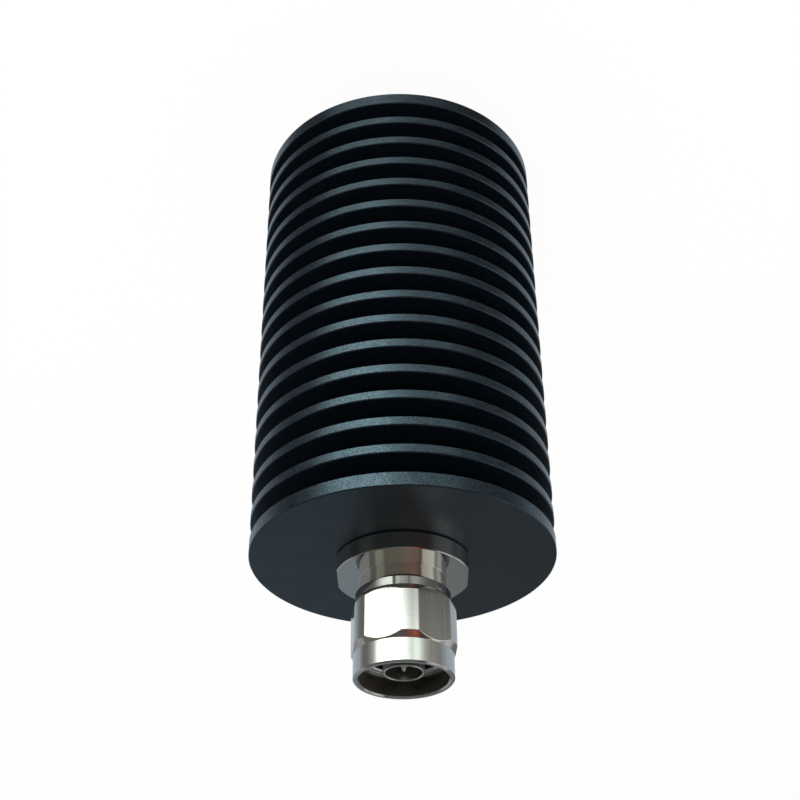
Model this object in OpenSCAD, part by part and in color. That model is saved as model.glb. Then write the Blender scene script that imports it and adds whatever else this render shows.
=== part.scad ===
// Coaxial power attenuator: a turned, finned heat sink with a plug at its upper end and a jack
// at its lower end. Z is the axis, z = 0 is the jack's mating end, and the plug points up.

/* [Heat sink] */
// Diameter of the fins and of both end plates
fin_d = 61.4; // [56:0.1:70]
// Thickness of one fin
fin_t = 2; // [1.5:0.1:3]
// Distance from one fin to the next
fin_pitch = 6; // [5:0.1:8]
// Number of fins between the two end plates
fin_count = 15; // [13:1:20]
// Thickness of each end plate
plate_t = 3; // [2.5:0.1:5]
// Diameter of the core that carries the fins
core_d = 34; // [28:0.5:44]
// Diameter of the bore through the core
sink_bore_d = 21; // [20.8:0.1:22]
// Width of the small chamfer on every rim
edge_break = 0.25; // [0.1:0.05:0.5]

/* [Mounting flanges] */
// Diameter of each mounting flange
flange_d = 27; // [25:0.1:32]
// Thickness of each mounting flange
flange_t = 3.75; // [3:0.05:5]
// Distance across the two wrench flats of a flange
flange_flats = 25.8; // [23:0.1:26.5]
// Length of the threaded spigot behind each flange
spigot_len = 9; // [8:0.5:12]
// Diameter of the neck between a flange and its connector
neck_d = 17.4; // [16.6:0.1:18.4]
// Height of the step that the flange itself gives that neck
step_h = 0.5; // [0.3:0.05:0.8]

/* [Coaxial line] */
// Diameter of the centre conductor
line_d = 3.04; // [3:0.01:3.1]
// Bore of the outer conductor
line_bore_d = 7; // [6.9:0.05:7.1]
// Diameter of the insulating beads
bead_d = 9.2; // [9:0.1:10]
// Diameter of the waist that each bead sits on
waist_d = 2.1; // [1.8:0.1:2.4]

/* [Plug] */
// Length of the coupling nut
nut_len = 17.6; // [17.2:0.1:18.5]
// Distance across the flats of the coupling nut
nut_flats = 19.8; // [19.6:0.1:20.6]
// Diameter over the turned corners of the nut's hexagon
nut_land_d = 21.2; // [20.8:0.1:22.4]
// Turn of the nut's corners about the axis
nut_turn = 22.5; // [0:0.5:59.5]
// Diameter of the collar behind the nut's hexagon, at its rear
collar_d = 18.8; // [18.2:0.1:19.2]
// Diameter of the round barrel in front of the hexagon
barrel_d = 19.5; // [18.8:0.1:19.6]
// Bore of the nut's mouth, in front of its thread
mouth_d = 17.25; // [16.6:0.05:17.6]
// Depth of that mouth
mouth_depth = 4.3; // [3:0.05:5]
// Diameter of the contact sleeve
sleeve_d = 8.04; // [8:0.01:8.1]
// Distance from the nut's front face back to the sleeve's end
sleeve_recess = 1.5; // [0.8:0.05:2]
// Diameter of the centre pin
pin_d = 1.6; // [1.58:0.01:1.66]

/* [Jack] */
// Outer diameter of the jack's thread
jack_thread_d = 15.875; // [15.8:0.005:15.9]
// Length of the jack below its mounting flange
jack_len = 16.75; // [16:0.25:18]
// Bore of the jack's mouth
jack_bore_d = 8.12; // [8.1:0.01:8.16]
// Depth of that mouth
jack_bore_depth = 9.1; // [9:0.05:9.3]
// Bore of the socket contact
socket_bore_d = 1.7; // [1.68:0.01:1.74]
// Width of the slots that part the socket into four fingers
socket_slot_w = 0.25; // [0.2:0.05:0.35]

/* [Attenuator element] */
// Length of the window milled into the carrier
window_len = 26; // [24:1:32]
// Width of the chip's mounting flange
chip_flange_w = 16.8; // [16:0.2:17.2]
// Length of the chip's mounting flange along the axis
chip_flange_len = 10; // [9:0.5:12]
// Thickness of the chip's mounting flange
chip_flange_t = 2.5; // [2:0.1:2.8]
// Distance between the chip's two screws
chip_screw_gap = 12; // [11.6:0.2:12.4]

/* [Hidden] */
$fn = 96;
eps = 0.01;

// Heat sink
fin_gap = fin_pitch - fin_t;
sink_len = 2 * plate_t + fin_count * fin_t + (fin_count + 1) * fin_gap;
sink_z = jack_len + flange_t;
sink_top_z = sink_z + sink_len;
sink_mid_z = sink_z + sink_len / 2;

// Flanges: heights measured outward from an end plate
flange_bore_d = 14;
flange_edge = 0.15;
shank_depth = 3;
bead_t = 3;

// Plug: heights measured from the upper end plate
neck_top = 7.3;
nut_rear = 7.5;
nut_play = 0.25;
collar_len = 1.7;
collar_front_d = collar_d - 0.24;
hex_rear = nut_rear + collar_len;
hex_len = 11.15;
hex_front = hex_rear + hex_len;
hex_rear_chamfer = 1.5;
hex_front_chamfer = 1.15;
nut_front = nut_rear + nut_len;
nut_bore_d = 14.24;
nut_edge = 0.15;
nut_front_edge = 0.3;
stub_d = 14.1;
stub_top = 14.9;
ring_t = 0.9;
ring_rear = 9.95;
ring_d = 15.2;
ring_seat_d = 12.5;
ring_gap = 3;
ring_fit = 0.05;
nut_groove_d = 15.7;
thread_minor_d = 14.9;
thread_relief_d = 16;
thread_relief_len = 1.2;
thread_rear = 13.6;
front_bead_rear = 8.4;
seat_rear = front_bead_rear + bead_t;
seat_d = 12;
gasket_d = 13.8;
gasket_bore_d = 9.6;
gasket_t = 1.4;
sleeve_front = nut_front - sleeve_recess;
pin_recess = 0.5;
pin_len = 4.8;
pin_tip = sleeve_front - pin_recess;
pin_shoulder = pin_tip - pin_len;
pin_tip_d = 0.5;
pin_taper = 1.3;

// Jack: heights measured down from the lower end plate
jack_end = sink_z;
jack_neck_len = 1.75;
jack_shoulder = flange_t + step_h + jack_neck_len;
jack_relief = 1.2;
jack_relief_d = 14.4;
jack_thread_chamfer = 0.6;
socket_reach = 4.75;
socket_depth = 5.2;
socket_chamfer = 0.15;
socket_web = 1;
jack_plane = jack_end - jack_bore_depth;
bead_setback = 2;
jack_bead_rear = jack_plane - bead_setback;

// Attenuator element
carrier_d = sink_bore_d - 0.1;
nose_len = spigot_len - shank_depth;
tail_d = 1.3;
tail_reach = 6;
tail_top = window_len / 2 - sink_len / 2;
tail_low = tail_top - tail_reach;
tab_w = 1.6;
tab_t = 0.2;
tab_overlap = 3;
substrate_w = 6.4;
substrate_inset = 0.5;
substrate_len = chip_flange_len - 2 * substrate_inset;
substrate_t = 1;
lid_w = 6;
lid_inset = 0.9;
lid_len = substrate_len - 2 * lid_inset;
lid_t = 1.4;
tab_y = -tail_d / 2 - tab_t;
substrate_y = tab_y - substrate_t;
flange_y = substrate_y - chip_flange_t;
washer_t = 0.4;
washer_d = 4.4;
screw_d = 2;
screw_head_d = 3.8;
screw_head_t = 2;
screw_key_d = 1.7;
screw_depth = 2.5;
screw_hole_d = 2.2;

// A turned solid, from its outline in radius and height
module turned(outline) {
    rotate_extrude() polygon(outline);
}

// A round bar between two heights
module bar(d, low, high) {
    translate([0, 0, low]) cylinder(d = d, h = high - low);
}

// A tube between two heights
module tube(outer_d, inner_d, low, high) {
    difference() {
        bar(outer_d, low, high);
        bar(inner_d, low - eps, high + eps);
    }
}

// A disc whose two rims are chamfered
module disc(d, low, high, chamfer) {
    turned([
        [0, low],
        [d / 2 - chamfer, low],
        [d / 2, low + chamfer],
        [d / 2, high - chamfer],
        [d / 2 - chamfer, high],
        [0, high]
    ]);
}

// Places a piece drawn outward from z = 0 on the upper end plate
module at_plug_end() {
    translate([0, 0, sink_top_z]) children();
}

// Places a piece drawn outward from z = 0 on the lower end plate, pointing down
module at_jack_end() {
    translate([0, 0, sink_z]) rotate([180, 0, 0]) children();
}

// End plates and fins turned from one bar, bored through
module heat_sink() {
    color("#26282b") difference() {
        union() {
            bar(core_d, sink_z, sink_top_z);
            disc(fin_d, sink_z, sink_z + plate_t, edge_break);
            disc(fin_d, sink_top_z - plate_t, sink_top_z, edge_break);
            for (i = [0 : fin_count - 1]) {
                low = sink_z + plate_t + fin_gap + i * fin_pitch;
                disc(fin_d, low, low + fin_t, edge_break);
            }
        }
        bar(sink_bore_d, sink_z - eps, sink_top_z + eps);
    }
}

// Round flange with two wrench flats, a low step on its face and a spigot behind it
module mounting_flange() {
    difference() {
        union() {
            bar(sink_bore_d, -spigot_len, eps);
            intersection() {
                disc(flange_d, 0, flange_t, flange_edge);
                translate([-flange_flats / 2, -flange_d, -eps])
                    cube([flange_flats, 2 * flange_d, flange_t + 2 * eps]);
            }
            bar(neck_d, flange_t - eps, flange_t + step_h);
        }
        bar(flange_bore_d, -spigot_len - eps, flange_t + step_h + eps);
    }
}

module plug_flange() {
    color("#b9b9b4") at_plug_end() mounting_flange();
}

// Neck and stub in one turned piece: the stub has the ring's groove and the contact's seat
module plug_body() {
    step_top = flange_t + step_h;
    color("#c3c2bc") at_plug_end() difference() {
        union() {
            bar(flange_bore_d, -shank_depth, step_top + eps);
            bar(neck_d, step_top, neck_top);
            bar(stub_d, neck_top - eps, stub_top);
        }
        bar(line_bore_d, -shank_depth - eps, stub_top + eps);
        bar(bead_d, -shank_depth - eps, 0);
        bar(bead_d, front_bead_rear, seat_rear + eps);
        bar(seat_d, seat_rear, stub_top + eps);
        tube(stub_d + 2 * eps, ring_seat_d, ring_rear - ring_fit, ring_rear + ring_t + ring_fit);
    }
}

// Contact sleeve with the collar that holds it in the plug's stub
module outer_contact() {
    chamfer = 0.12;
    color("#cfcec8") at_plug_end() difference() {
        union() {
            bar(seat_d, seat_rear, stub_top);
            disc(sleeve_d, seat_rear, sleeve_front, chamfer);
        }
        turned([
            [0, seat_rear - eps],
            [line_bore_d / 2, seat_rear - eps],
            [line_bore_d / 2, sleeve_front - chamfer],
            [line_bore_d / 2 + chamfer + eps, sleeve_front + eps],
            [0, sleeve_front + eps]
        ]);
    }
}

// Centre conductor of the plug: pin with a tapered tip, two waists and a solder tail
module plug_contact() {
    color("#d8b24a") at_plug_end() union() {
        bar(tail_d, tail_low, tail_top + eps);
        bar(line_d, tail_top, -shank_depth);
        bar(waist_d, -shank_depth - eps, eps);
        bar(line_d, 0, front_bead_rear);
        bar(waist_d, front_bead_rear - eps, seat_rear + eps);
        bar(line_d, seat_rear, pin_shoulder);
        turned([
            [0, pin_shoulder - eps],
            [pin_d / 2, pin_shoulder - eps],
            [pin_d / 2, pin_tip - pin_taper],
            [pin_tip_d / 2, pin_tip],
            [0, pin_tip]
        ]);
    }
}

module plug_front_bead() {
    color("#f2f2ee") at_plug_end() tube(bead_d, waist_d, front_bead_rear, seat_rear);
}

module plug_rear_bead() {
    color("#f2f2ee") at_plug_end() tube(bead_d, waist_d, -shank_depth, 0);
}

// Sealing ring around the foot of the contact sleeve
module plug_gasket() {
    color("#2a2928") at_plug_end() tube(gasket_d, gasket_bore_d, stub_top, stub_top + gasket_t);
}

// Split ring that holds the nut on the stub
module retaining_ring() {
    color("#b59a55") at_plug_end() difference() {
        tube(ring_d, ring_seat_d, ring_rear, ring_rear + ring_t);
        translate([0, -ring_gap / 2, ring_rear - eps])
            cube([ring_d, ring_gap, ring_t + 2 * eps]);
    }
}

// The nut as turned: slightly tapered collar, thick middle with a cone at each end, and barrel
module nut_blank() {
    turned([
        [0, nut_rear],
        [collar_d / 2 - nut_edge, nut_rear],
        [collar_d / 2, nut_rear + nut_edge],
        [collar_front_d / 2, hex_rear],
        [nut_land_d / 2, hex_rear + hex_rear_chamfer],
        [nut_land_d / 2, hex_front - hex_front_chamfer],
        [barrel_d / 2, hex_front],
        [barrel_d / 2, nut_front - nut_front_edge],
        [barrel_d / 2 - nut_front_edge, nut_front],
        [0, nut_front]
    ]);
}

// What the six wrench flats take off the nut's middle; round lands are left at the corners
module nut_flat_cuts() {
    for (side = [0 : 5])
        rotate([0, 0, nut_turn + 30 + 60 * side])
            translate([nut_flats / 2, -nut_land_d / 2, hex_rear])
                cube([nut_land_d / 2, nut_land_d, hex_len]);
}

// Cavity of the nut: rear bore, ring groove, thread relief, thread and mouth
module nut_cavity() {
    mouth_floor = nut_front - mouth_depth;
    union() {
        bar(nut_bore_d, nut_rear - eps, thread_rear);
        bar(nut_groove_d, ring_rear - nut_play, ring_rear + ring_t + nut_play);
        bar(thread_relief_d, thread_rear - thread_relief_len, thread_rear);
        bar(thread_minor_d, thread_rear - eps, mouth_floor + eps);
        turned([
            [0, mouth_floor],
            [mouth_d / 2, mouth_floor],
            [mouth_d / 2, nut_front - nut_edge],
            [mouth_d / 2 + nut_edge + eps, nut_front + eps],
            [0, nut_front + eps]
        ]);
    }
}

module coupling_nut() {
    color("#d2d2ce") at_plug_end() difference() {
        nut_blank();
        nut_flat_cuts();
        nut_cavity();
    }
}

// Rod that fills the sink's bore, with a nose at each end and a window for the chip
module carrier() {
    low = sink_z + spigot_len;
    high = sink_top_z - spigot_len;
    color("#c9ccd0") difference() {
        union() {
            bar(carrier_d, low, high);
            bar(flange_bore_d, low - nose_len, high + nose_len);
        }
        bar(line_bore_d, low - nose_len - eps, high + nose_len + eps);
        translate([-carrier_d, flange_y, sink_mid_z - window_len / 2])
            cube([2 * carrier_d, carrier_d * 2, window_len]);
        for (side = [-1, 1])
            translate([side * chip_screw_gap / 2, flange_y + eps, sink_mid_z])
                rotate([90, 0, 0]) cylinder(d = screw_d, h = screw_depth + eps, $fn = 32);
    }
}

// A block lying on the carrier's flat, centred on the chip
module chip_block(width, low_y, thickness, length) {
    translate([-width / 2, low_y, sink_mid_z - length / 2]) cube([width, thickness, length]);
}

module chip_flange() {
    color("#c79a6b") difference() {
        chip_block(chip_flange_w, flange_y, chip_flange_t, chip_flange_len);
        for (side = [-1, 1])
            translate([side * chip_screw_gap / 2, substrate_y + eps, sink_mid_z])
                rotate([90, 0, 0]) cylinder(d = screw_hole_d, h = chip_flange_t + 2 * eps);
    }
}

module chip_substrate() {
    color("#e8e6dc") chip_block(substrate_w, substrate_y, substrate_t, substrate_len);
}

module chip_lid() {
    color("#f0ead8") chip_block(lid_w, tab_y, lid_t, lid_len);
}

// Flat lead from the chip to a conductor's tail; side is 1 toward the plug, -1 toward the jack
module chip_tab(side) {
    start = lid_len / 2;
    reach = window_len / 2 - tail_reach + tab_overlap - start;
    low = side > 0 ? sink_mid_z + start : sink_mid_z - start - reach;
    translate([-tab_w / 2, tab_y, low]) cube([tab_w, tab_t, reach]);
}

module input_tab() {
    color("#d9d9d9") chip_tab(1);
}

module output_tab() {
    color("#d9d9d9") chip_tab(-1);
}

module chip_washers() {
    color("#c0c0c0") for (side = [-1, 1])
        translate([side * chip_screw_gap / 2, substrate_y + washer_t, sink_mid_z])
            rotate([90, 0, 0]) difference() {
                cylinder(d = washer_d, h = washer_t);
                translate([0, 0, -eps]) cylinder(d = screw_hole_d, h = washer_t + 2 * eps);
            }
}

// Socket head screw along -Y, its head above y = 0 and its thread below
module chip_screw() {
    rotate([90, 0, 0]) difference() {
        union() {
            translate([0, 0, -screw_head_t]) cylinder(d = screw_head_d, h = screw_head_t);
            translate([0, 0, -eps])
                cylinder(d = screw_d, h = washer_t + chip_flange_t + screw_depth, $fn = 32);
        }
        translate([0, 0, -screw_head_t - eps])
            cylinder(d = screw_key_d, h = screw_head_t / 2 + eps, $fn = 6);
    }
}

module chip_screws() {
    color("#9a9ca0") for (side = [-1, 1])
        translate([side * chip_screw_gap / 2, substrate_y + washer_t, sink_mid_z]) chip_screw();
}

module jack_flange() {
    color("#b9b9b4") at_jack_end() mounting_flange();
}

// Jack shell: shoulder, thread relief, threaded barrel and the mouth for a mating sleeve
module jack_body() {
    step_top = flange_t + step_h;
    color("#c3c2bc") at_jack_end() difference() {
        union() {
            bar(flange_bore_d, -shank_depth, step_top + eps);
            disc(neck_d, step_top, jack_shoulder, flange_edge);
            bar(jack_relief_d, jack_shoulder - eps, jack_end - eps);
            disc(jack_thread_d, jack_shoulder + jack_relief, jack_end, jack_thread_chamfer);
        }
        bar(line_bore_d, -shank_depth - eps, jack_end + eps);
        bar(bead_d, -shank_depth - eps, jack_bead_rear);
        turned([
            [0, jack_plane],
            [jack_bore_d / 2, jack_plane],
            [jack_bore_d / 2, jack_end - nut_edge],
            [jack_bore_d / 2 + nut_edge + eps, jack_end + eps],
            [0, jack_end + eps]
        ]);
    }
}

// Centre conductor of the jack: a slotted socket, two waists and a solder tail
module jack_contact() {
    socket_end = jack_plane + socket_reach;
    color("#d8b24a") at_jack_end() difference() {
        union() {
            bar(tail_d, tail_low, tail_top + eps);
            bar(line_d, tail_top, -shank_depth);
            bar(waist_d, -shank_depth - eps, eps);
            bar(line_d, 0, jack_bead_rear - bead_t);
            bar(waist_d, jack_bead_rear - bead_t - eps, jack_bead_rear + eps);
            disc(line_d, jack_bead_rear, socket_end, socket_chamfer);
        }
        bar(socket_bore_d, socket_end - socket_depth, socket_end + eps);
        for (turn = [0, 90])
            rotate([0, 0, turn])
                translate([-line_d, -socket_slot_w / 2, socket_end - socket_depth + socket_web])
                    cube([2 * line_d, socket_slot_w, socket_depth]);
    }
}

module jack_front_bead() {
    color("#f2f2ee") at_jack_end()
        tube(bead_d, waist_d, jack_bead_rear - bead_t, jack_bead_rear);
}

// Tube that keeps the jack's two beads apart
module jack_spacer() {
    color("#cfcec8") at_jack_end() tube(bead_d, line_bore_d, 0, jack_bead_rear - bead_t);
}

module jack_rear_bead() {
    color("#f2f2ee") at_jack_end() tube(bead_d, waist_d, -shank_depth, 0);
}

heat_sink();
plug_flange();
plug_body();
outer_contact();
plug_contact();
plug_front_bead();
plug_rear_bead();
plug_gasket();
retaining_ring();
coupling_nut();
carrier();
chip_flange();
chip_substrate();
chip_lid();
input_tab();
output_tab();
chip_washers();
chip_screws();
jack_flange();
jack_body();
jack_contact();
jack_front_bead();
jack_spacer();
jack_rear_bead();
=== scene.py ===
"""A coaxial attenuator: a finned black heat sink with a plug on top and a jack at its foot."""

import math

import bpy
from bpy.props import FloatProperty, FloatVectorProperty, IntProperty, PointerProperty
from mathutils import Matrix, Vector


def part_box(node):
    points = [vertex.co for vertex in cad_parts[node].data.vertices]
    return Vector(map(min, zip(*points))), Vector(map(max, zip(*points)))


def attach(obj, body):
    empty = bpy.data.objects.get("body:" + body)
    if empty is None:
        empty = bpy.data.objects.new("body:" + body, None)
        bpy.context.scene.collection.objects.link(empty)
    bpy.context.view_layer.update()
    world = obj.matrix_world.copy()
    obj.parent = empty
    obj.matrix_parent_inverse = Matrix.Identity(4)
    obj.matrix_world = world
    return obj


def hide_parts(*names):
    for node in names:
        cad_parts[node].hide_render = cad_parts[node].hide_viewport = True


bl_info = {
    "name": "Coaxial attenuator",
    "version": (1, 0, 0),
    "blender": (4, 5, 0),
    "location": "3D View > Sidebar > Attenuator",
    "description": "Cuts the attenuator's threads, finishes its pieces and sets its stage",
    "category": "Object",
}

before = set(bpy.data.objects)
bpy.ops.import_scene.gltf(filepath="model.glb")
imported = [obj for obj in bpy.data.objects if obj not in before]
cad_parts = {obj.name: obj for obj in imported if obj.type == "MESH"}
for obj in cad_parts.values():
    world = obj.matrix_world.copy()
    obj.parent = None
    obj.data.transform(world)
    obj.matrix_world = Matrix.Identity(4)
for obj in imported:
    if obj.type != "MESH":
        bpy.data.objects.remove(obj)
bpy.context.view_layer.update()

MM = 0.001
TURN = 2 * math.pi
CLEAR = 0.02 * MM  # how far a cutter passes the face that it cuts
FLANK = math.radians(30)  # slope of the thread's two sides
WHITE = "#ffffff"


def linear(hex_colour):
    """Turns an sRGB hex colour to the linear values that the shaders use."""
    values = [int(hex_colour[i : i + 2], 16) / 255 for i in (1, 3, 5)]
    return [v / 12.92 if v <= 0.04045 else ((v + 0.055) / 1.055) ** 2.4 for v in values]


# ---------------------------------------------------------------- settings


def length(name, description, default):
    """A setting in millimetres, kept in metres as Blender keeps lengths."""
    return FloatProperty(name=name, description=description, default=default * MM, unit="LENGTH")


def colour(name, description, default):
    """A colour setting with an sRGB hex default."""
    return FloatVectorProperty(
        name=name,
        description=description,
        default=linear(default),
        size=3,
        min=0,
        max=1,
        subtype="COLOR",
    )


class ThreadSettings(bpy.types.PropertyGroup):
    """The thread that the nut and the jack share, 24 turns to the inch."""

    pitch: length("Pitch", "Distance from one turn of the thread to the next", 25.4 / 24)
    crest: length("Nut crest radius", "Radius of the nut's thread at its crests", 7.45)
    root: length("Nut root radius", "Radius of the nut's thread at its roots", 7.97)
    jack_crest: length("Jack crest radius", "Radius of the jack's thread at its crests", 7.9375)
    jack_root: length("Jack root radius", "Radius of the jack's thread at its roots", 7.33)
    steps: IntProperty(name="Steps", description="Segments in one turn", default=96, min=24)


class SinkSettings(bpy.types.PropertyGroup):
    """Sizes of the heat sink, as the frame has them, and its broken edges."""

    disc: length("Disc radius", "Radius of the end plates and fins", 30.7)
    core: length("Core radius", "Radius of the core between the fins", 17)
    bore: length("Bore radius", "Radius of the bore through the core", 10.5)
    plate: length("Plate thickness", "Thickness of each end plate", 3)
    fin: length("Fin thickness", "Thickness of each fin", 2)
    pitch: length("Fin pitch", "Distance from one fin to the next", 6)
    fins: IntProperty(name="Fins", description="Fins between the end plates", default=15, min=1)
    edge: length("Edge break", "Width of the broken edges on the discs", 0.2)
    root: length("Root radius", "Radius where a disc meets the core", 0.3)


class FlangeSettings(bpy.types.PropertyGroup):
    """Sizes of the two mounting flanges and the plug's neck."""

    radius: length("Flange radius", "Radius of the round flange", 13.5)
    thickness: length("Flange thickness", "Thickness of the round flange", 3.75)
    flat: length("Flat distance", "Distance from the axis to each wrench flat", 12.9)
    spigot: length("Spigot length", "Length of the spigot in the sink's bore", 9)
    bore: length("Flange bore radius", "Radius of the bore for the connector's body", 7)
    step: length("Step height", "Height of the low step on the flange", 0.5)
    neck: length("Neck radius", "Radius of the step and the plug's neck", 8.7)
    neck_foot: length("Neck foot radius", "Radius of the plug's neck on the step", 8.5)
    neck_top: length("Neck top", "Height of the neck above the end plate", 7.3)
    edge: length("Edge break", "Width of the chamfer on the flange's rim", 0.18)
    foot: length("Foot break", "Width of the chamfer where the flange meets the sink", 0.3)
    joint: length("Joint break", "Width of the chamfers where the neck meets the step", 0.07)


class NutSettings(bpy.types.PropertyGroup):
    """Sizes of the coupling nut, measured from its two ends."""

    collar: length("Collar radius", "Radius of the collar at the nut's rear", 9.4)
    collar_front: length("Collar front radius", "Radius where the collar meets the hexagon", 9.28)
    collar_length: length("Collar length", "Length of the collar", 1.7)
    hexagon: length("Hexagon length", "Length of the hexagon with its two cones", 11.15)
    rear_cone: length("Rear cone", "Length of the cone behind the hexagon", 1.5)
    front_cone: length("Front cone", "Length of the cone in front of the hexagon", 1.15)
    flat: length("Flat distance", "Distance from the axis to each flat", 9.9)
    land: length("Land radius", "Radius of the turned lands on the hexagon's corners", 10.6)
    barrel: length("Barrel radius", "Radius of the barrel in front of the hexagon", 9.75)
    mouth: length("Mouth radius", "Radius of the mouth in front of the thread", 8.625)
    mouth_depth: length("Mouth depth", "Depth of that mouth", 4.3)
    edge: length("Edge break", "Width of the chamfers on the turned edges", 0.1)
    rim: length("Rim break", "Width of the chamfers on the front edge and the mouth", 0.3)
    milled_edge: length("Milled edge", "Width of the soft edge round each flat", 0.12)
    turn: FloatProperty(
        name="Turn of the corners",
        description="Turn of the hexagon's corners about the axis",
        default=math.radians(22.5),
        subtype="ANGLE",
    )


class FinishSettings(bpy.types.PropertyGroup):
    """Colours of the finishes."""

    anodised: colour("Black anodising", "Heat sink", "#05090f")
    anodised_grain: colour("Anodising grain", "Lighter grain of the blasted rims", "#12191f")
    nickel: colour("Bright nickel", "Flanges, plug, nut and jack", "#d3d1cb")
    # The mouth's wall is rougher than the bright nickel, and its darker colour is painted shade in
    # the nut's recess.
    dull_painted_shade_nickel: colour(
        "Dull nickel", "Wall of the nut's mouth, where plating comes out dull", "#a3a6a1"
    )
    silver: colour("Silver plate", "Contacts and the chip's leads", "#d4d3ce")
    fluoropolymer: colour("PTFE", "Insulating beads", "#efeee8")
    rubber: colour("Silicone rubber", "Sealing ring in the nut", "#23211f")
    bronze: colour("Spring bronze", "Split ring that holds the nut", "#b58e5c")
    aluminium: colour("Bare aluminium", "Carrier in the sink's bore", "#cfd1d3")
    copper: colour("Copper", "Mounting flange of the chip", "#c98563")
    ceramic: colour("Ceramic", "Substrate and lid of the chip", "#e6e3da")
    steel: colour("Stainless steel", "Screws and washers of the chip", "#b9b9ba")


class StageSettings(bpy.types.PropertyGroup):
    """Camera, lamps and reflecting cards."""

    lens: FloatProperty(
        name="Lens", description="Focal length on a 36 mm sensor", default=61.291, unit="CAMERA"
    )
    sky: FloatProperty(name="Sky", description="Strength of the soft light all round", default=0.7)
    key: FloatProperty(name="Key lamp", description="Power of the large lamp", default=8.0)
    softbox: FloatProperty(
        name="Soft box", description="Brightness of the soft box in the reflections", default=1.0
    )
    shadow: FloatProperty(
        name="Shadow", description="Share of the floor's look that keeps the shadow", default=0.08
    )


# ---------------------------------------------------------------- modelling by hand


def deselect():
    if bpy.context.object and bpy.context.object.mode != "OBJECT":
        bpy.ops.object.mode_set(mode="OBJECT")
    bpy.ops.object.select_all(action="DESELECT")


def edit(piece):
    deselect()
    bpy.context.view_layer.objects.active = piece
    piece.select_set(True)
    bpy.ops.object.mode_set(mode="EDIT")
    bpy.ops.mesh.select_mode(type="VERT")
    bpy.ops.mesh.select_all(action="SELECT")


def rounded(points, steps=4):
    """Rounds each corner that gives a setback after its radius and height."""
    result = []
    for index, (radius, height, *setback) in enumerate(points):
        corner = Vector((radius, height))
        if not setback:
            result.append(corner)
            continue
        before = Vector(points[index - 1][:2]) - corner
        after = Vector(points[(index + 1) % len(points)][:2]) - corner
        start = corner + before.normalized() * setback[0]
        end = corner + after.normalized() * setback[0]
        for step in range(steps + 1):
            t = step / steps
            result.append(start * (1 - t) ** 2 + corner * 2 * t * (1 - t) + end * t**2)
    return result


def outline(name, points):
    """Draws a closed outline in radius and height, one point after the other."""
    deselect()
    first = Vector((points[0][0], 0, points[0][1]))
    bpy.ops.mesh.primitive_plane_add(size=MM, location=first)
    piece = bpy.context.object
    piece.name = piece.data.name = name
    bpy.ops.object.transform_apply(location=True, rotation=True, scale=True)
    edit(piece)
    bpy.ops.mesh.merge(type="CENTER")
    here = first
    for radius, height in [*points[1:], points[0]]:
        there = Vector((radius, 0, height))
        bpy.ops.mesh.extrude_vertices_move(TRANSFORM_OT_translate={"value": there - here})
        here = there
    bpy.ops.mesh.select_all(action="SELECT")
    bpy.ops.mesh.remove_doubles(threshold=0.001 * MM)
    bpy.ops.object.mode_set(mode="OBJECT")
    return piece


def close_up(piece):
    """Merges doubles and turns every face outwards."""
    edit(piece)
    bpy.ops.mesh.remove_doubles(threshold=0.001 * MM)
    bpy.ops.mesh.normals_make_consistent(inside=False)
    bpy.ops.object.mode_set(mode="OBJECT")


def lathe(name, points, steps=192, corner_steps=4):
    """Turns an outline about Z to a closed solid."""
    piece = outline(name, rounded(points, corner_steps))
    edit(piece)
    bpy.ops.mesh.spin(steps=steps, angle=TURN, center=(0, 0, 0), axis=(0, 0, 1))
    bpy.ops.object.mode_set(mode="OBJECT")
    close_up(piece)
    return piece


def apply(piece, kind, **settings):
    """Adds one modifier with its settings and applies it."""
    deselect()
    bpy.context.view_layer.objects.active = piece
    piece.select_set(True)
    bpy.ops.object.modifier_add(type=kind)
    modifier = piece.modifiers[-1]
    for name, value in settings.items():
        setattr(modifier, name, value)
    bpy.ops.object.modifier_apply(modifier=modifier.name)


def cut(piece, cutter):
    """Cuts one solid out of another and throws the cutter away."""
    apply(piece, "BOOLEAN", operation="DIFFERENCE", solver="EXACT", object=cutter)
    deselect()
    cutter.select_set(True)
    bpy.context.view_layer.objects.active = cutter
    bpy.ops.object.delete()


def thread_cutter(name, section, low, turns):
    """Winds a groove's closed section about Z, as a thread cutting tool would run."""
    settings = bpy.context.scene.attenuator_thread
    piece = outline(name, [(radius, low + height) for radius, height in section])
    apply(
        piece,
        "SCREW",
        axis="Z",
        angle=TURN,
        screw_offset=settings.pitch,
        iterations=turns,
        steps=settings.steps,
        render_steps=settings.steps,
        use_merge_vertices=False,
    )
    edit(piece)
    bpy.ops.mesh.select_mode(type="EDGE")
    bpy.ops.mesh.select_all(action="DESELECT")
    bpy.ops.mesh.select_non_manifold(extend=False, use_wire=False, use_multi_face=False)
    bpy.ops.mesh.fill()
    bpy.ops.object.mode_set(mode="OBJECT")
    close_up(piece)
    return piece


def box_cutter(name, low, high, turn=0):
    """A block between two corners, turned about Z."""
    deselect()
    low, high = Vector(low), Vector(high)
    bpy.ops.mesh.primitive_cube_add(
        size=1,
        location=Matrix.Rotation(turn, 3, "Z") @ ((low + high) / 2),
        rotation=(0, 0, turn),
        scale=high - low,
    )
    piece = bpy.context.object
    piece.name = name
    bpy.ops.object.transform_apply(location=True, rotation=True, scale=True)
    return piece


def pick(piece, kind, chosen):
    """Enters edit mode with just these edges or faces selected."""
    edit(piece)
    bpy.ops.mesh.select_mode(type=kind)
    bpy.ops.mesh.select_all(action="DESELECT")
    bpy.ops.object.mode_set(mode="OBJECT")
    elements = piece.data.edges if kind == "EDGE" else piece.data.polygons
    for index in chosen:
        elements[index].select = True
    bpy.ops.object.mode_set(mode="EDIT")


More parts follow.
